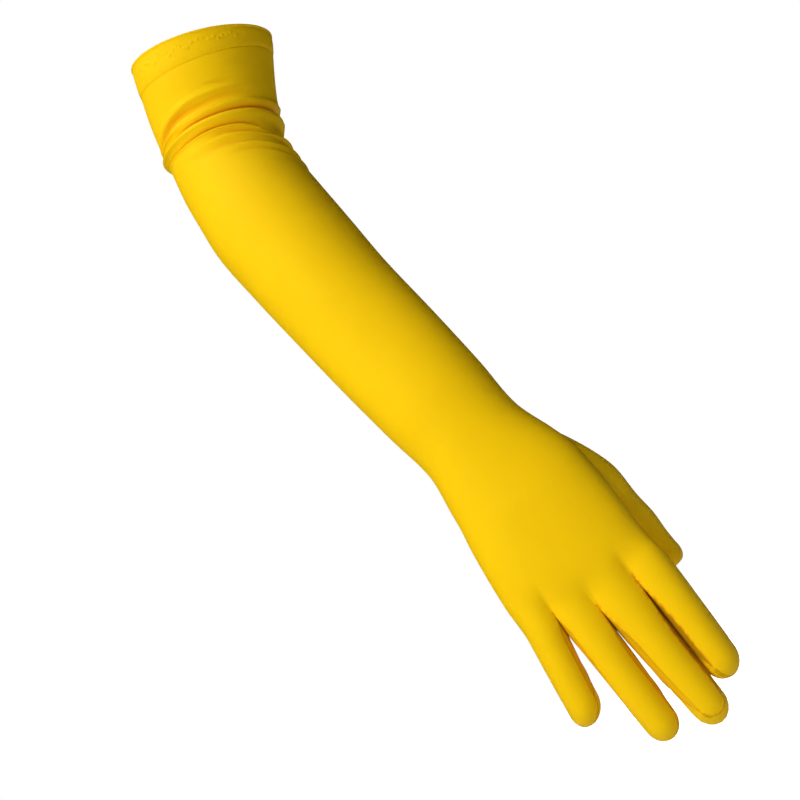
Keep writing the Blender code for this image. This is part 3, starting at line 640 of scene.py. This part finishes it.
# The thumb. A separate tube set into an oval opening at the side seam, which leaves the hand
# sideways and turns down beside the palm, with a kink at its joint and a blunt tip.
THUMB_LENGTH = 65.0 * MM
THUMB_WIDTH = 19.0 * MM
THUMB_SECTIONS = (
    # drop, outwards, to palm, height, width, tilt
    (0.00, 0.00, 0.00, 2.50, 0.90, 0.0),
    (0.12, 0.26, 0.12, 1.80, 0.95, 18.0),
    (0.28, 0.49, 0.36, 1.16, 1.02, 45.0),
    (0.46, 0.50, 0.62, 1.12, 1.06, 66.0),
    (0.62, 0.62, 0.80, 1.06, 1.02, 78.0),
    (0.76, 0.66, 0.90, 0.92, 0.96, 83.0),
    (0.87, 0.72, 0.96, 0.80, 0.90, 85.0),
)
THUMB_BLEND = 0.31
THUMB_BLUNTNESS = 0.6
THUMB_ROWS = 40
THUMB_TIP_ROWS = 12
INDEX_COLUMNS = FINGERS[0][-1]
HOLE_COLUMNS = round((HOLE_BACK + HOLE_PALM) * INDEX_COLUMNS)
HOLE_ROWS = round((HOLE_BOTTOM - HOLE_TOP) * HAND_ROWS)


def opening_outline():
    """Places round the thumb's opening, over the back first, as shares of the index's cloth."""
    across = [step / INDEX_COLUMNS for step in range(HOLE_COLUMNS)]
    down = [step / HAND_ROWS for step in range(HOLE_ROWS)]
    places = [(HOLE_BACK - step, HOLE_TOP) for step in across]
    places += [(-HOLE_PALM, HOLE_TOP + step) for step in down]
    places += [(-HOLE_PALM + step, HOLE_BOTTOM) for step in across]
    places += [(HOLE_BACK, HOLE_BOTTOM - step) for step in down]
    return places


def opening_point(across, row):
    """A point of the hand at a place round the thumb's opening."""
    return panel_point(0, 1 if across >= 0 else -1, abs(across), row)[0]


def thumb_frame():
    """The middle of the thumb's opening, and the directions out of the hand and over its back."""
    points = [opening_point(across, row) for across, row in opening_outline()[::4]]
    middle = sum(points, Vector()) / len(points)
    over = opening_point(HOLE_BACK, HOLE_TOP) - opening_point(-HOLE_PALM, HOLE_TOP)
    over.z = 0.0
    over.normalize()
    return middle, Vector((0.0, 0.0, 1.0)).cross(over), over


THUMB_FRAME = thumb_frame()
THUMB_TABLE = [
    (step / (len(THUMB_SECTIONS) - 1), *section) for step, section in enumerate(THUMB_SECTIONS)
]


def thumb_point(place, share):
    """A point of the thumb below a place on its opening, at a share of its straight length."""
    across, row = place
    middle, outwards, over = THUMB_FRAME
    aside = (across - (HOLE_BACK - HOLE_PALM) / 2) / (HOLE_BACK + HOLE_PALM) * 2
    down = (row - (HOLE_TOP + HOLE_BOTTOM) / 2) / (HOLE_BOTTOM - HOLE_TOP) * 2
    angle = math.atan2(
        -down * math.sqrt(1 - aside**2 / 2),
        aside * math.sqrt(1 - down**2 / 2),
    )
    drop, out, to_palm, height, width, tilt = through(THUMB_TABLE, min(share, 1.0))
    tilt = math.radians(tilt)
    up = Vector((0.0, 0.0, 1.0))
    rise = up * math.cos(tilt) + outwards * math.sin(tilt)
    ahead = outwards * math.cos(tilt) - up * math.sin(tilt)
    centre = middle - up * THUMB_LENGTH * drop
    centre = centre + (outwards * out - over * to_palm) * THUMB_WIDTH
    closing = clip(share - 1.0, 0.0, 1.0) * math.pi / 2
    centre = centre + ahead * math.sin(closing) * THUMB_LENGTH * (1 - THUMB_SECTIONS[-1][0])
    blunt = max(math.cos(closing), 0.0) ** THUMB_BLUNTNESS
    half_height = THUMB_WIDTH * height / 2 * blunt
    half_width = THUMB_WIDTH * width / 2 * blunt
    point = centre + rise * half_height * math.sin(angle) + over * half_width * math.cos(angle)
    point = opening_point(across, row).lerp(point, smooth(share / THUMB_BLEND))
    return point, (angle * THUMB_WIDTH / 2, share * THUMB_LENGTH), 0.0


outline = opening_outline()
thumb_rows = [share / THUMB_ROWS for share in range(THUMB_ROWS)]
thumb_rows += [1 + share / THUMB_TIP_ROWS for share in range(THUMB_TIP_ROWS + 1)]
add_patch(
    skin,
    "thumb",
    len(outline),
    thumb_rows,
    lambda share, row: thumb_point(outline[round(share * len(outline)) % len(outline)], row),
)
bmesh.ops.remove_doubles(skin, verts=skin.verts, dist=WELD)
bmesh.ops.recalc_face_normals(skin, faces=skin.faces)

# The seams. The pieces are sewn together from the inside, so at each seam both edges turn in and
# leave a fine groove with a soft lip on either side. The inner faces of the cloth meet in the seam.
SEAM_GAP = 0.08 * MM
SEAM_LIP = 0.5 * MM
SEAM_SINK = 0.24 * MM
SEAM_SHADE = 0.5
HEM_SINK = 0.08 * MM
SHARPEST_CORNER = 0.35


def into_cloth(corner):
    """The step into the cloth, from a corner of its cut edge, that clears its seam by one unit."""
    inwards = []
    for edge in corner.link_edges:
        if not edge.is_boundary:
            continue
        face = edge.link_faces[0]
        along = (edge.verts[1].co - edge.verts[0].co).normalized()
        across = face.calc_center_median() - corner.co
        across -= along * across.dot(along)
        across -= face.normal * across.dot(face.normal)
        inwards.append(across.normalized())
    middle = sum(inwards, Vector()).normalized()
    return middle / max(middle.dot(inwards[0]), SHARPEST_CORNER)


def cut_piece(name):
    """One piece of the glove as a closed shell of cloth with its seam edges turned in."""
    piece = skin.copy()
    closing = piece.verts.layers.float_vector.new("closing")
    tag = PIECES.index(name)
    others = [face for face in piece.faces if face.material_index != tag]
    bmesh.ops.delete(piece, geom=others, context="FACES")
    piece.normal_update()
    cut_edge = [corner for corner in piece.verts if corner.is_boundary]
    steps = [into_cloth(corner) * SEAM_GAP / 2 for corner in cut_edge]
    for corner, step in zip(cut_edge, steps):
        corner.co += step
    if name not in STRIPS:
        bmesh.ops.inset_region(piece, faces=piece.faces[:], thickness=SEAM_LIP, use_boundary=True)
    piece.normal_update()
    uv = piece.loops.layers.uv["cloth"]
    painted_shade = piece.verts.layers.float["painted_shade"]
    seam = piece.verts.layers.float["seam"]
    cut_edge = [corner for corner in piece.verts if corner.is_boundary]
    sinks = []
    for corner in cut_edge:
        at_hem = abs(corner.link_loops[0][uv].uv.y - HEM_DEPTH) < CLOTH / 2
        inwards = [edge.calc_length() for edge in corner.link_edges if not edge.is_boundary]
        room = min(sum(inwards) / len(inwards) / SEAM_LIP, 1.0) if inwards else 0.0
        sinks.append((HEM_SINK if at_hem else SEAM_SINK) * room)
        corner[closing] = into_cloth(corner) * -SEAM_GAP / 2
        # the seam's edges get painted shade
        corner[painted_shade] = max(corner[painted_shade], SEAM_SHADE)
        corner[seam] = 1.0
    made = bmesh.ops.extrude_face_region(piece, geom=piece.faces[:], use_keep_orig=True)["geom"]
    for corner in made:
        if isinstance(corner, bmesh.types.BMVert):
            corner.co += corner[closing] - corner.normal * CLOTH
    for corner, sink in zip(cut_edge, sinks):
        corner.co -= corner.normal * sink
    piece.verts.layers.float_vector.remove(closing)
    bmesh.ops.recalc_face_normals(piece, faces=piece.faces)
    for face in piece.faces:
        face.material_index = 0
        face.smooth = True
    return piece


def add_piece(name, shape, material):
    """Makes the object of a piece, which rides on the glove and stands for its own CAD node."""
    mesh = bpy.data.meshes.new(name + "_cloth")
    shape.to_mesh(mesh)
    shape.free()
    mesh.materials.append(material)
    made = bpy.data.objects.new(name + "_cloth", mesh)
    bpy.context.scene.collection.objects.link(made)
    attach(made, "root")
    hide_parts(name)
    return made


# The knit. Fine wales run down the arm and each row of loops crosses them, so the cloth has a small
# relief of V-shaped stitches. It is a matt bright yellow, with shade painted on in orange in its
# folds and along its seams.
LOOP_SLANT = 1.3
LOOP_RELIEF = 0.22


def calculate(tree, operation, first, second=None):
    """Adds a math node whose inputs are sockets or plain numbers."""
    node = tree.nodes.new("ShaderNodeMath")
    node.operation = operation
    for socket, value in zip(node.inputs, (first, second)):
        if isinstance(value, bpy.types.NodeSocket):
            tree.links.new(value, socket)
        elif value is not None:
            socket.default_value = value
    return node.outputs["Value"]


def knit_group():
    """A node group that draws the loops of the knit on the flat cloth."""
    group = bpy.data.node_groups.new("knit_loops", "ShaderNodeTree")
    group.interface.new_socket("Flat cloth", in_out="INPUT", socket_type="NodeSocketVector")
    group.interface.new_socket("Wale width", in_out="INPUT", socket_type="NodeSocketFloat")
    group.interface.new_socket("Course height", in_out="INPUT", socket_type="NodeSocketFloat")
    group.interface.new_socket("Relief", in_out="OUTPUT", socket_type="NodeSocketFloat")
    inputs = group.nodes.new("NodeGroupInput")
    outputs = group.nodes.new("NodeGroupOutput")
    parts = group.nodes.new("ShaderNodeSeparateXYZ")
    group.links.new(inputs.outputs["Flat cloth"], parts.inputs[0])
    across = calculate(group, "DIVIDE", parts.outputs["X"], inputs.outputs["Wale width"])
    along = calculate(group, "DIVIDE", parts.outputs["Y"], inputs.outputs["Course height"])
    in_wale = calculate(group, "SUBTRACT", calculate(group, "FRACT", across), 0.5)
    off_middle = calculate(group, "ABSOLUTE", in_wale)
    slanted = calculate(group, "ADD", along, calculate(group, "MULTIPLY", off_middle, LOOP_SLANT))
    loop = calculate(group, "SINE", calculate(group, "MULTIPLY", slanted, math.tau))
    leg = calculate(group, "SINE", calculate(group, "MULTIPLY", off_middle, math.tau))
    relief = calculate(group, "ADD", calculate(group, "MULTIPLY", loop, LOOP_RELIEF), leg)
    group.links.new(relief, outputs.inputs["Relief"])
    return group


KNIT = knit_group()
WALE_WIDTH = 0.9 * MM
COURSE_HEIGHT = 0.8 * MM
STITCH_LENGTH = 2.2 * MM
STITCH_RELIEF = 3.0
RELIEF_STRENGTH = 0.3
RELIEF_HEIGHT = 0.06 * MM
MOTTLE_SCALE = 60.0
MOTTLE_TINT = 0.12
MOTTLE_ROUGHNESS = 0.12
# how far the painted shade turns the colour towards the shade colour
SHADE_TINT = 0.8
ROUGHNESS = 0.56
MIX_FACTOR, MIX_FIRST, MIX_SECOND, MIX_RESULT = 0, 6, 7, 2  # the mix node's colour sockets
YELLOW = (0.95, 0.60, 0.003, 1.0)
# painted shade: the strips' base colour is a deeper copy of the yellow, for the shade between the
# fingers
SHADED_YELLOW = (0.90, 0.50, 0.003, 1.0)
# painted shade: the orange the panels turn in folds, creases and along seams
PAINTED_SHADE_ORANGE = (0.85, 0.29, 0.004, 1.0)
# painted shade: the dark brown of the strips in the closed gaps between the fingers
PAINTED_GAP_SHADE = (0.34, 0.14, 0.003, 1.0)


def knit_cloth(name, light, shade):
    """The knit in one colour: loops, faint mottling, and a darker, warmer colour painted on as shade.
    """
    material = bpy.data.materials.new(name)
    material.use_nodes = True
    tree = material.node_tree
    shader = tree.nodes["Principled BSDF"]
    flat = tree.nodes.new("ShaderNodeUVMap")
    flat.uv_map = "cloth"
    loops = tree.nodes.new("ShaderNodeGroup")
    loops.node_tree = KNIT
    loops.inputs["Wale width"].default_value = WALE_WIDTH
    loops.inputs["Course height"].default_value = COURSE_HEIGHT
    tree.links.new(flat.outputs["UV"], loops.inputs["Flat cloth"])
    place = tree.nodes.new("ShaderNodeTexCoord")
    parts = tree.nodes.new("ShaderNodeSeparateXYZ")
    tree.links.new(place.outputs["Object"], parts.inputs[0])
    sewn = tree.nodes.new("ShaderNodeAttribute")
    sewn.attribute_name = "seam"
    stitch = calculate(tree, "MULTIPLY", parts.outputs["Z"], math.tau / STITCH_LENGTH)
    stitch = calculate(tree, "MULTIPLY", calculate(tree, "SINE", stitch), sewn.outputs["Fac"])
    stitch = calculate(tree, "MULTIPLY", stitch, STITCH_RELIEF)
    relief = calculate(tree, "ADD", loops.outputs["Relief"], stitch)
    bump = tree.nodes.new("ShaderNodeBump")
    bump.inputs["Strength"].default_value = RELIEF_STRENGTH
    bump.inputs["Distance"].default_value = RELIEF_HEIGHT
    tree.links.new(relief, bump.inputs["Height"])
    tree.links.new(bump.outputs["Normal"], shader.inputs["Normal"])
    mottle = tree.nodes.new("ShaderNodeTexNoise")
    mottle.inputs["Scale"].default_value = MOTTLE_SCALE
    mottle.inputs["Detail"].default_value = 4.0
    tree.links.new(place.outputs["Object"], mottle.inputs["Vector"])
    # the shade painted at each corner mixes the colour towards the shade colour
    painted_shade = tree.nodes.new("ShaderNodeAttribute")
    painted_shade.attribute_name = "painted_shade"
    blend = tree.nodes.new("ShaderNodeMix")
    blend.data_type = "RGBA"
    blend.inputs[MIX_FIRST].default_value = light
    blend.inputs[MIX_SECOND].default_value = shade
    shade_share = calculate(tree, "MULTIPLY", painted_shade.outputs["Fac"], SHADE_TINT)
    mottled = calculate(tree, "MULTIPLY", mottle.outputs["Fac"], MOTTLE_TINT)
    tree.links.new(calculate(tree, "ADD", mottled, shade_share), blend.inputs[MIX_FACTOR])
    tree.links.new(blend.outputs[MIX_RESULT], shader.inputs["Base Color"])
    uneven = calculate(tree, "MULTIPLY", mottle.outputs["Fac"], MOTTLE_ROUGHNESS)
    tree.links.new(calculate(tree, "ADD", uneven, ROUGHNESS), shader.inputs["Roughness"])
    shader.inputs["Specular IOR Level"].default_value = 0.2
    shader.inputs["Specular Tint"].default_value = (1.0, 0.75, 0.1, 1.0)
    shader.inputs["Sheen Weight"].default_value = 0.05
    shader.inputs["Sheen Roughness"].default_value = 0.5
    shader.inputs["Sheen Tint"].default_value = (1.0, 0.7, 0.05, 1.0)
    return material


panel_knit = knit_cloth("knit_panels", YELLOW, PAINTED_SHADE_ORANGE)
# the strips' knit is a shaded copy of the panels' knit
strip_knit = knit_cloth("knit_strips", SHADED_YELLOW, PAINTED_GAP_SHADE)
for name in PIECES:
    add_piece(name, cut_piece(name), strip_knit if name in STRIPS else panel_knit)
skin.free()

# The hem. The end of the sleeve is folded in and stitched down, a doubled band of knit with a thin
# rolled rim. The stitches draw it in, so small irregular puckers stand along the band's middle.
HEM_WALL = 2.2 * MM
HEM_PROUD = 0.5 * MM
HEM_COLUMNS = 640
HEM_LOWER_EDGE = (
    # proud in shares of the wall, height above the band's lower edge in mm
    (0.00, 0.04),
    (0.60, 0.04),
    (0.72, 0.08),
    (0.80, 0.40),
    (0.87, 0.90),
    (0.93, 1.60),
    (0.98, 2.50),
)
HEM_BAND_ROWS = 20
HEM_RIM = (
    # proud in shares of the wall, depth below the rim in mm
    (1.00, 3.20),
    (0.93, 2.40),
    (0.91, 1.80),
    (1.02, 1.20),
    (1.12, 0.80),
    (1.08, 0.40),
    (0.92, 0.12),
    (0.70, 0.01),
    (0.50, 0.00),
    (0.30, 0.10),
    (0.12, 0.50),
    (0.00, 1.40),
    (-0.02, 4.00),
    (0.00, 8.00),
    (0.00, 12.0),
)
OUTER_FACE = 0.8
PUCKERS = 34
PUCKER_SEED = 7
PUCKERS_FROM = math.radians(35.0)
PUCKER_STEPS = (2.4, 5.0)  # degrees
PUCKER_STATIONS = (5.0, 8.8)  # mm
PUCKER_TILTS = (-25.0, 25.0)  # degrees
PUCKER_LENGTHS = (0.7, 1.2)  # mm
PUCKER_WIDTHS = (0.5, 0.8)  # mm
PUCKER_HEIGHT = 0.42 * MM
PUCKER_REACH = 4.0  # mm
STITCH_ANGLE = math.tau / 96
STITCH_DIMPLE = 0.09 * MM
STITCH_PLACE = 1.3  # mm above the band's lower edge
STITCH_SPREAD = 0.5


def hem_profile():
    """Rows round the band's section, from the inside of its lower edge over the rim and back in."""
    rows = [(proud, HEM_DEPTH - up * MM) for proud, up in HEM_LOWER_EDGE]
    top, bottom = HEM_RIM[0][1] * MM, rows[-1][1]
    rows += [(1.0, lerp(bottom, top, row / HEM_BAND_ROWS)) for row in range(1, HEM_BAND_ROWS)]
    return rows + [(proud, down * MM) for proud, down in HEM_RIM]


def scatter_puckers():
    """Small raised ovals at uneven steps along the band: angle, station, tilt, length and width."""
    chance = random.Random(PUCKER_SEED)
    puckers = []
    angle = PUCKERS_FROM
    for _ in range(PUCKERS):
        angle += math.radians(chance.uniform(*PUCKER_STEPS))
        station = chance.uniform(*PUCKER_STATIONS) * MM
        tilt = math.radians(chance.uniform(*PUCKER_TILTS))
        length = chance.uniform(*PUCKER_LENGTHS)
        width = chance.uniform(*PUCKER_WIDTHS)
        puckers.append((angle, station, tilt, length, width))
    return puckers


PUCKER_TABLE = scatter_puckers()


def pucker(angle, station):
    """How high the puckers and the dimples of the hem's stitches stand at a point of the band."""
    height = 0.0
    for middle, down, tilt, length, width in PUCKER_TABLE:
        aside = (angle - middle) * MOUTH_WIDTH / 2 / MM
        below = (station - down) / MM
        if abs(aside) < PUCKER_REACH and abs(below) < PUCKER_REACH:
            along = (aside * math.cos(tilt) + below * math.sin(tilt)) / length
            across = (below * math.cos(tilt) - aside * math.sin(tilt)) / width
            height += PUCKER_HEIGHT * math.exp(-(along**2) - across**2)
    off_stitches = (HEM_DEPTH - station) / MM - STITCH_PLACE
    stitch = STITCH_DIMPLE * (1.0 + math.cos(angle / STITCH_ANGLE * math.tau))
    return height - stitch * math.exp(-(off_stitches**2) / STITCH_SPREAD)


def hem_point(angle, proud, station):
    """A point of the hem's band, at a share of the way from its inner to its outer face."""
    raised = pucker(angle, station) if proud > OUTER_FACE else 0.0
    return sleeve_point(angle, station, lerp(HEM_PROUD - HEM_WALL, HEM_PROUD, proud) + raised)


HEM_PROFILE = hem_profile()
hem = bmesh.new()
uv = hem.loops.layers.uv.new("cloth")
hem.verts.layers.float.new("painted_shade")
hem.verts.layers.float.new("seam")
corners = bmesh.ops.create_grid(
    hem, x_segments=HEM_COLUMNS, y_segments=len(HEM_PROFILE), size=0.5
)["verts"]
flat = {}
for corner in corners:
    share = round((corner.co.x + 0.5) * HEM_COLUMNS) / HEM_COLUMNS
    proud, station = HEM_PROFILE[round((corner.co.y + 0.5) * len(HEM_PROFILE)) % len(HEM_PROFILE)]
    corner.co = hem_point(math.tau * share, proud, station)
    flat[corner] = (math.tau * share * WALE_RADIUS, station)
for face in hem.faces:
    face.smooth = True
    for loop in face.loops:
        loop[uv].uv = flat[loop.vert]
bmesh.ops.remove_doubles(hem, verts=hem.verts, dist=WELD)
bmesh.ops.recalc_face_normals(hem, faces=hem.faces)
add_piece("hem_band", hem, panel_knit)

# The floor and the light. A plain pale floor and a white room run on past what the camera sees.
# One large soft light stands at the left, a weaker one above, and a third behind the palm side.
FLOOR_HEIGHT = -0.54
FLOOR_SIZE = 30.0
FLOOR_GLOW = 1.2
GLOVE_MIDDLE = Vector((-0.03, 0.02, -0.22))
LAMP_DISTANCE = 1.3
LAMP_SIZE = 1.0
LAMPS = (
    # name, towards the lamp, power
    ("left_softbox", (-0.54, -0.78, 0.33), 14.0),
    ("top_softbox", (-0.08, -0.59, 0.83), 6.2),
    ("back_softbox", (-0.05, 0.98, 0.12), 6.0),
)
floor_shape = bmesh.new()
bmesh.ops.create_grid(floor_shape, x_segments=1, y_segments=1, size=FLOOR_SIZE / 2)
bmesh.ops.translate(floor_shape, verts=floor_shape.verts, vec=(0.0, 0.0, FLOOR_HEIGHT))
floor_mesh = bpy.data.meshes.new("floor")
floor_shape.to_mesh(floor_mesh)
floor_shape.free()
floor = bpy.data.objects.new("floor", floor_mesh)
bpy.context.scene.collection.objects.link(floor)
paint = bpy.data.materials.new("floor_paint")
paint.use_nodes = True
paint_shader = paint.node_tree.nodes["Principled BSDF"]
paint_shader.inputs["Base Color"].default_value = (0.93, 0.93, 0.93, 1.0)
paint_shader.inputs["Roughness"].default_value = 0.9
paint_shader.inputs["Emission Color"].default_value = (1.0, 1.0, 1.0, 1.0)
seen_floor = paint.node_tree.nodes.new("ShaderNodeLightPath")
glow = calculate(paint.node_tree, "MULTIPLY", seen_floor.outputs["Is Camera Ray"], FLOOR_GLOW)
paint.node_tree.links.new(glow, paint_shader.inputs["Emission Strength"])
floor_mesh.materials.append(paint)

world = bpy.data.worlds.new("white_room")
bpy.context.scene.world = world
world.use_nodes = True
sky = world.node_tree
background = sky.nodes["Background"]
background.inputs["Color"].default_value = (1.0, 1.0, 1.0, 1.0)
seen_sky = sky.nodes.new("ShaderNodeLightPath")
sky.links.new(seen_sky.outputs["Is Camera Ray"], background.inputs["Strength"])

for name, towards, power in LAMPS:
    lamp = bpy.data.lights.new(name, "AREA")
    lamp.size = LAMP_SIZE
    lamp.energy = power
    lit = bpy.data.objects.new(name, lamp)
    lit.location = GLOVE_MIDDLE + Vector(towards).normalized() * LAMP_DISTANCE
    lit.rotation_euler = Vector(towards).to_track_quat("Z", "Y").to_euler()
    bpy.context.scene.collection.objects.link(lit)

# The camera looks along the arm from below the elbow and rolls with it, so the glove crosses the
# picture from the cuff at the top left to the fingers at the bottom right.
CAMERA_PLACE = (-0.0463, -0.3913, -0.4172)
CAMERA_RISE = math.radians(21.5)
CAMERA_ROLL = math.radians(-40.54)
LENS = 37.2
camera = bpy.data.objects.new("camera", bpy.data.cameras.new("camera"))
camera.data.lens = LENS
camera.data.sensor_width = 36.0
camera.data.clip_start = 0.01
camera.matrix_world = (
    Matrix.Translation(CAMERA_PLACE)
    @ Matrix.Rotation(math.pi / 2 + CAMERA_RISE, 4, "X")
    @ Matrix.Rotation(CAMERA_ROLL, 4, "Z")
)
bpy.context.scene.collection.objects.link(camera)
bpy.context.scene.camera = camera
bpy.context.scene.view_settings.view_transform = "Standard"
